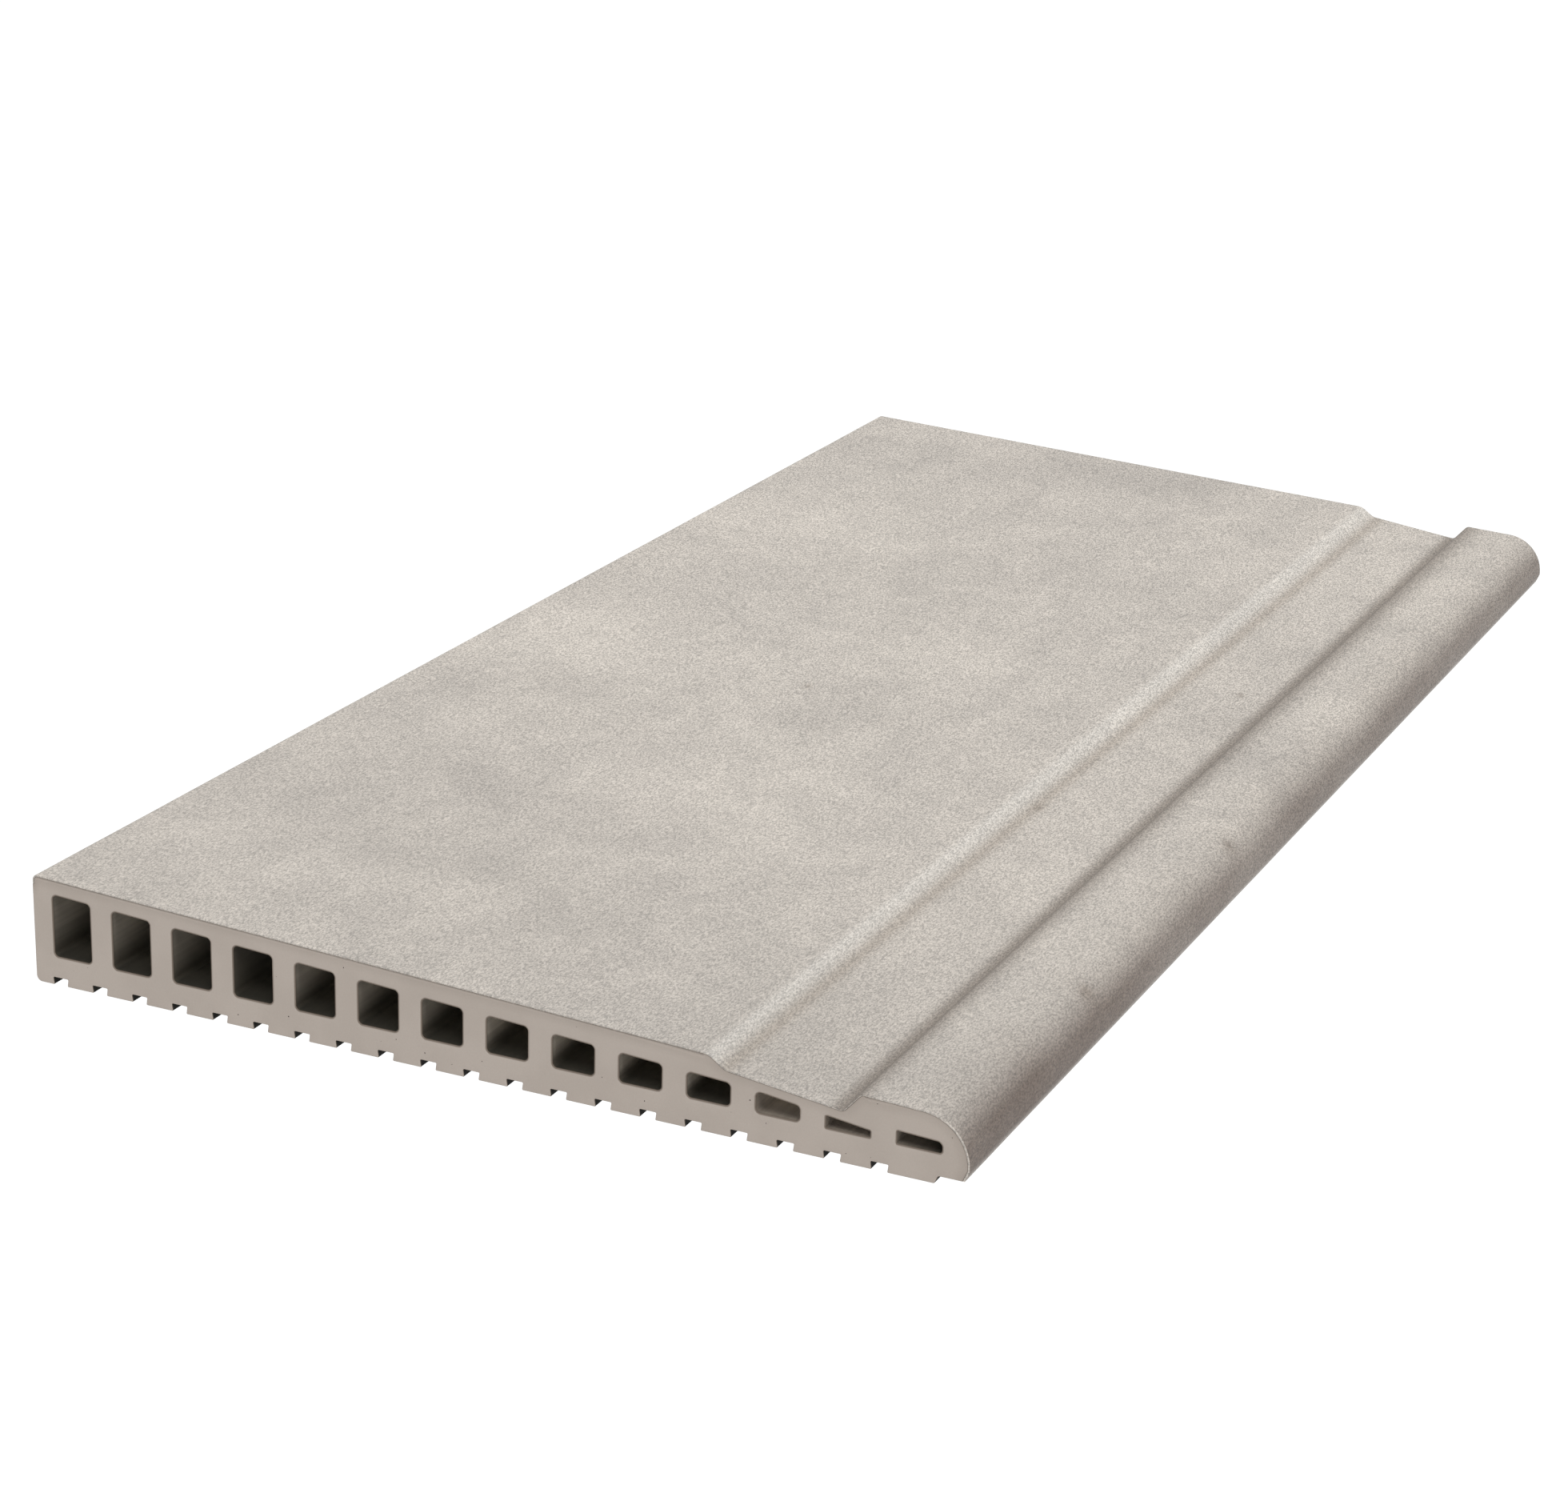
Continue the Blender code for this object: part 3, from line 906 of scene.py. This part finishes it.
class Graph:
    """A short way to write a material's nodes.

    Of the values stored on the points, "away" (from a cut end), "mouth" and "glaze_depth" are
    distances in mm, "cloud" goes from about -1 to 1, and the others from 0 to about 1.
    """

    def __init__(self, name):
        self.material = bpy.data.materials.new(name)
        self.material.use_nodes = True
        self.tree = self.material.node_tree
        self.shader = self.tree.nodes["Principled BSDF"]
        self.place = self.add("ShaderNodeTexCoord").outputs["Object"]

    def add(self, kind, **settings):
        node = self.tree.nodes.new(kind)
        for name, value in settings.items():
            setattr(node, name, value)
        return node

    def feed(self, socket, value):
        if isinstance(value, bpy.types.NodeSocket):
            self.tree.links.new(value, socket)
        else:
            socket.default_value = value

    def math(self, operation, a, b=0.0):
        node = self.add("ShaderNodeMath", operation=operation)
        self.feed(node.inputs[0], a)
        self.feed(node.inputs[1], b)
        return node.outputs[0]

    def ramp(self, value, low, high, out_low=0.0, out_high=1.0):
        """A smooth turn from out_low to out_high as the value goes from low to high."""
        node = self.add("ShaderNodeMapRange", interpolation_type="SMOOTHSTEP")
        for socket, given in zip(node.inputs, (value, low, high, out_low, out_high)):
            self.feed(socket, given)
        return node.outputs[0]

    def mix(self, factor, a, b, blend="MIX"):
        """Colour a, turning into b as the factor goes from 0 to 1."""
        node = self.add("ShaderNodeMix", data_type="RGBA", blend_type=blend)
        self.feed(node.inputs[0], factor)
        self.feed(node.inputs[6], a)
        self.feed(node.inputs[7], b)
        return node.outputs[2]

    def stretched(self, scale):
        node = self.add("ShaderNodeMapping")
        self.feed(node.inputs["Vector"], self.place)
        self.feed(node.inputs["Scale"], scale)
        return node.outputs[0]

    def noise(self, scale, detail, roughness, distortion=0.0, stretch=None):
        node = self.add("ShaderNodeTexNoise")
        self.feed(node.inputs["Vector"], self.stretched(stretch) if stretch else self.place)
        self.feed(node.inputs["Scale"], scale)
        self.feed(node.inputs["Detail"], detail)
        self.feed(node.inputs["Roughness"], roughness)
        self.feed(node.inputs["Distortion"], distortion)
        return node.outputs[0]

    def cells(self, scale):
        node = self.add("ShaderNodeTexVoronoi")
        self.feed(node.inputs["Vector"], self.place)
        self.feed(node.inputs["Scale"], scale)
        return node.outputs["Distance"]

    def value(self, name):
        """A value stored on the points."""
        return self.add("ShaderNodeAttribute", attribute_name=name).outputs["Fac"]

    def bump(self, height, distance, strength):
        node = self.add("ShaderNodeBump")
        self.feed(node.inputs["Height"], height)
        self.feed(node.inputs["Distance"], distance)
        self.feed(node.inputs["Strength"], strength)
        return node.outputs[0]

    def finish(self, colour, roughness, specular, normal=None):
        """Feeds the shader, and returns the material."""
        self.feed(self.shader.inputs["Base Color"], colour)
        self.feed(self.shader.inputs["Roughness"], roughness)
        self.feed(self.shader.inputs["Specular IOR Level"], specular)
        if normal is not None:
            self.feed(self.shader.inputs["Normal"], normal)
        return self.material


def grained(g, colour, fine):
    """The glaze's colour with its fine grain, which has more contrast at the far end."""
    place = g.add("ShaderNodeSeparateXYZ")
    g.feed(place.inputs[0], g.place)
    gain = g.ramp(place.outputs["Y"], -HALF_LENGTH, HALF_LENGTH, *GRAIN_CONTRAST)
    contrast = g.math("ADD", g.math("MULTIPLY", g.math("SUBTRACT", fine, 0.5), gain), 0.5)
    speckle = g.mix(g.ramp(contrast, 0.34, 0.66), GRAIN_DARK, GRAIN_PALE)
    return g.mix(1.0, colour, speckle, "MULTIPLY")


def glaze_material():
    """Satin glaze: warm and cool clouds, a fine crumpled grain, painted shade in the hollows, painted
    highlights.
    """
    g = Graph("cloudy_glaze")
    smoke = g.noise(42.0, 5.0, 0.62, 0.6, SMOKE_STRETCH)
    wisps = g.math("MULTIPLY", g.math("SUBTRACT", smoke, 0.5), 2.6)
    tone = g.math("ADD", g.value("cloud"), wisps)
    colour = g.mix(g.ramp(tone, -1.6, 1.6), GLAZE_CLOUD, GLAZE_PALE)
    # Painted highlight on the step's crest; painted shade at its foot and in the trough's crease.
    for name, strength, tint in (("crest", 0.27, GLAZE_CREST_HIGHLIGHT), ("shade", 0.45, GLAZE_SHADE),
                                 ("crease", 0.7, GLAZE_CREASE_SHADE)):
        colour = g.mix(g.math("MULTIPLY", g.value(name), strength), colour, tint)
    # Painted shade with brown staining on the lower nose, broken into patches.
    side_patches = g.noise(24.0, 4.0, 0.6, 0.6, FLECK_STRETCH)
    side = g.math("MULTIPLY", g.value("side"), g.ramp(side_patches, 0.3, 0.62, 0.84, 1.0))
    colour = g.mix(side, colour, GLAZE_NOSE_SHADE_AND_STAIN)
    # Painted light on the nose's foot, and real iron spots.
    for name, strength, tint in (("foot", 0.5, GLAZE_FOOT_BOUNCE_LIGHT), ("spot", 0.45, IRON_BROWN)):
        colour = g.mix(g.math("MULTIPLY", g.value(name), strength), colour, tint)
    # A painted highlight along the glaze's cut edge, where the nose carries its painted shade.
    lip = g.math("MULTIPLY", g.value("lip"), g.ramp(g.value("side"), 0.02, 0.5, 0.0, 0.6))
    colour = g.mix(lip, colour, GLAZE_LIP_HIGHLIGHT)
    grain = g.noise(1850.0, 2.0, 0.7, 0.3, GRAIN_STRETCH)
    fleck = g.noise(900.0, 4.0, 0.9, 0.4, FLECK_STRETCH)
    fine = g.math("ADD", g.math("MULTIPLY", grain, 0.65), g.math("MULTIPLY", fleck, 0.35))
    colour = grained(g, colour, fine)
    rough = g.ramp(smoke, 0.3, 0.7, 0.52, 0.64)
    return g.finish(colour, rough, 0.3, g.bump(fine, 0.3 * MM, 0.9))


def cut_material():
    """Cut stoneware: even and matt, with painted shade: darker under the glaze, brown at the channel
    rims.
    """
    g = Graph("cut_stoneware")
    mottle = g.noise(60.0, 3.0, 0.5)
    grit = g.noise(1800.0, 2.0, 0.6)
    depth = g.value("glaze_depth")
    colour = g.mix(g.ramp(mottle, 0.35, 0.65), CUT_DARK, CUT_LIGHT)
    colour = g.mix(g.ramp(grit, 0.3, 0.7, 0.0, 0.1), colour, CUT_GRIT)
    # Painted shade: darker under the glaze, a thin line at its edge, brown round the channels, pore
    # floors.
    colour = g.mix(g.ramp(depth, 0.3, 4.5, 0.24, 0.0), colour, CUT_UNDER_GLAZE_SHADE)
    colour = g.mix(g.ramp(depth, 0.5, 1.5, 0.12, 0.0), colour, CUT_GLAZE_LINE_SHADE)
    colour = g.mix(g.ramp(g.value("mouth"), 0.0, 0.45, 0.75, 0.0), colour, CUT_RIM_SHADE)
    colour = g.mix(g.value("pore"), colour, CUT_PORE_SHADE)
    return g.finish(colour, g.ramp(grit, 0.2, 0.8, 0.78, 0.9), 0.2, g.bump(grit, 0.05 * MM, 0.5))


def wall_material():
    """Raw extruded stoneware on the back edge and the ribs, with drag lines along the tile."""
    g = Graph("extruded_stoneware")
    drag = g.noise(700.0, 3.0, 0.6, 0.0, RAW_DRAG_STRETCH)
    mottle = g.noise(22.0, 5.0, 0.6, 0.3)
    colour = g.mix(g.ramp(mottle, 0.3, 0.7), RAW_DARK, RAW_LIGHT)
    colour = g.mix(g.ramp(drag, 0.35, 0.65, 0.3, 0.0), colour, RAW_DRAG)
    colour = g.mix(g.ramp(g.cells(240.0), 0.05, 0.16, 0.6, 0.0), colour, RAW_SPECK)
    return g.finish(colour, g.ramp(mottle, 0.2, 0.8, 0.74, 0.88), 0.2, g.bump(drag, 0.12 * MM, 0.6))


def channel_material():
    """Painted light and shade inside the channels: darkest on the floor, and dull near the mouth."""
    g = Graph("channel_painted_light_and_shade")
    drag = g.noise(600.0, 3.0, 0.6, 0.0, SKIN_DRAG_STRETCH)
    away = g.value("away")
    # Painted light on the upper walls and deeper in; painted shade low, on the floor and at the
    # mouth.
    upper = g.mix(g.value("tone"), CHANNEL_UPPER_SHADED, CHANNEL_UPPER_LIT)
    wall = g.mix(g.ramp(g.value("rise"), 0.0, 0.75), CHANNEL_LOW_SHADE, upper)
    wall = g.mix(g.ramp(away, 10.0, 44.0, 0.0, 0.7), wall, CHANNEL_DEEP_LIGHT)
    wall = g.mix(g.ramp(away, 0.0, 13.0, 0.6, 0.0), wall, CHANNEL_MOUTH_SHADE)
    bed = g.mix(g.ramp(away, 0.0, 22.0), BED_MOUTH_SHADE, BED_DEEP_SHADE)
    pale = g.mix(g.ramp(away, 0.5, 14.0), LIT_MOUTH, LIT_DEEP)
    colour = g.mix(g.value("bed"), wall, bed)
    colour = g.mix(g.value("pale"), colour, pale)
    colour = g.mix(g.ramp(away, 0.0, 1.2, 0.55, 0.0), colour, CHANNEL_RIM_SHADE)
    colour = g.mix(g.ramp(drag, 0.35, 0.65, 0.2, 0.0), colour, CHANNEL_DRAG)
    return g.finish(colour, 0.5, 0.4, g.bump(drag, 0.1 * MM, 0.5))


def groove_material():
    """Bedding grooves' sides and roofs in painted shade: near black by the cut ends, darker clay
    further in.
    """
    g = Graph("groove_painted_shade")
    drag = g.noise(800.0, 3.0, 0.6, 0.0, SKIN_DRAG_STRETCH)
    streak = g.ramp(drag, 0.35, 0.65)
    # Painted shade: near black near the cut ends, darker clay further in.
    mouth_shade = g.mix(streak, MOUTH_SHADE_DARK, MOUTH_SHADE_LIGHT)
    clay = g.mix(streak, GROOVE_SHADE_DARK, GROOVE_SHADE_LIGHT)
    colour = g.mix(g.ramp(g.value("away"), 8.0, 46.0), mouth_shade, clay)
    return g.finish(colour, 0.75, 0.15, g.bump(drag, 0.1 * MM, 0.5))


# Stage --------------------------------------------------------------------------------------

# Camera, from the photo's viewing angle.
VIEW_TARGET = Vector((-0.0196, -0.0716, 0.018))
VIEW_DISTANCE = 1.299
VIEW_AZIMUTH = math.radians(24.31)
VIEW_ELEVATION = math.radians(19.67)
VIEW_ROLL = math.radians(1.56)
LENS_MM = 83.3
SENSOR_MM = 36.0
VIEW_CLIP = (0.01, 200.0)

FLOOR_REACH = 40.0
FLOOR_HEIGHT = -1.5
FLOOR_WHITE = (0.9, 0.9, 0.9, 1.0)

WHITE = (1.0, 1.0, 1.0, 1.0)
SOFT_LIGHT = 0.55
BACKDROP_LIGHT = 1.05

SUN_AZIMUTH = math.radians(50.0)
SUN_ELEVATION = math.radians(70.0)
SUN_SPREAD = math.radians(50.0)
SUN_LIGHT = 2.15


def direction(azimuth, elevation):
    """Towards a viewer or a light. Azimuth 0 is in front of the near end, 90 off the nose."""
    flat = math.cos(elevation)
    return Vector((math.sin(azimuth) * flat, -math.cos(azimuth) * flat, math.sin(elevation)))


def add_floor():
    """A plain pale floor well below the tile, which a camera under it sees through."""
    corners = [(-1, -1), (1, -1), (1, 1), (-1, 1)]
    mesh = bpy.data.meshes.new("floor")
    mesh.from_pydata([(x * FLOOR_REACH, y * FLOOR_REACH, FLOOR_HEIGHT) for x, y in corners],
                     [], [(0, 1, 2, 3)])
    g = Graph("pale_floor")
    g.finish(FLOOR_WHITE, 0.9, 0.0)
    through = g.add("ShaderNodeBsdfTransparent")
    either = g.add("ShaderNodeMixShader")
    g.feed(either.inputs[0], g.add("ShaderNodeNewGeometry").outputs["Backfacing"])
    g.feed(either.inputs[1], g.shader.outputs[0])
    g.feed(either.inputs[2], through.outputs[0])
    g.feed(g.tree.nodes["Material Output"].inputs["Surface"], either.outputs[0])
    mesh.materials.append(g.material)
    floor = bpy.data.objects.new("floor", mesh)
    bpy.context.scene.collection.objects.link(floor)


def add_sun():
    """The key light: soft, high, and from the near end's nose side."""
    light = bpy.data.lights.new("key", "SUN")
    light.energy = SUN_LIGHT
    light.angle = SUN_SPREAD
    lamp = bpy.data.objects.new("key", light)
    lamp.rotation_mode = "QUATERNION"
    lamp.rotation_quaternion = direction(SUN_AZIMUTH, SUN_ELEVATION).to_track_quat("Z", "Y")
    bpy.context.scene.collection.objects.link(lamp)


def add_world():
    """Even soft light from all round, behind a plain white backdrop."""
    world = bpy.data.worlds.new("studio")
    world.use_nodes = True
    tree = world.node_tree
    soft = tree.nodes["Background"]
    backdrop = tree.nodes.new("ShaderNodeBackground")
    for background, strength in ((soft, SOFT_LIGHT), (backdrop, BACKDROP_LIGHT)):
        background.inputs["Color"].default_value = WHITE
        background.inputs["Strength"].default_value = strength
    either = tree.nodes.new("ShaderNodeMixShader")
    ray = tree.nodes.new("ShaderNodeLightPath")
    tree.links.new(ray.outputs["Is Camera Ray"], either.inputs[0])
    tree.links.new(soft.outputs[0], either.inputs[1])
    tree.links.new(backdrop.outputs[0], either.inputs[2])
    tree.links.new(either.outputs[0], tree.nodes["World Output"].inputs["Surface"])
    bpy.context.scene.world = world


def add_camera():
    """The photo's camera: low over the near cut end, from the nose side, and slightly rolled."""
    back = direction(VIEW_AZIMUTH, VIEW_ELEVATION)
    level = Vector((math.cos(VIEW_AZIMUTH), math.sin(VIEW_AZIMUTH), 0.0))
    right = level * math.cos(VIEW_ROLL) + back.cross(level) * math.sin(VIEW_ROLL)
    up = back.cross(right)
    lens = bpy.data.cameras.new("camera")
    lens.lens = LENS_MM
    lens.sensor_width = SENSOR_MM
    lens.clip_start, lens.clip_end = VIEW_CLIP
    camera = bpy.data.objects.new("camera", lens)
    axes = Matrix((right, up, back)).transposed()
    camera.matrix_world = Matrix.Translation(VIEW_TARGET + back * VIEW_DISTANCE) @ axes.to_4x4()
    bpy.context.scene.collection.objects.link(camera)
    bpy.context.scene.camera = camera


def main():
    add_camera()
    body = stoneware_piece([cut_material(), wall_material(), channel_material(), groove_material()])
    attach(body, "root")
    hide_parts("stoneware_body")
    skin = glaze_piece([glaze_material()])
    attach(skin, "root")
    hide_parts("glaze_coat")
    add_floor()
    add_world()
    add_sun()
    bpy.context.scene.view_settings.view_transform = "Standard"


main()
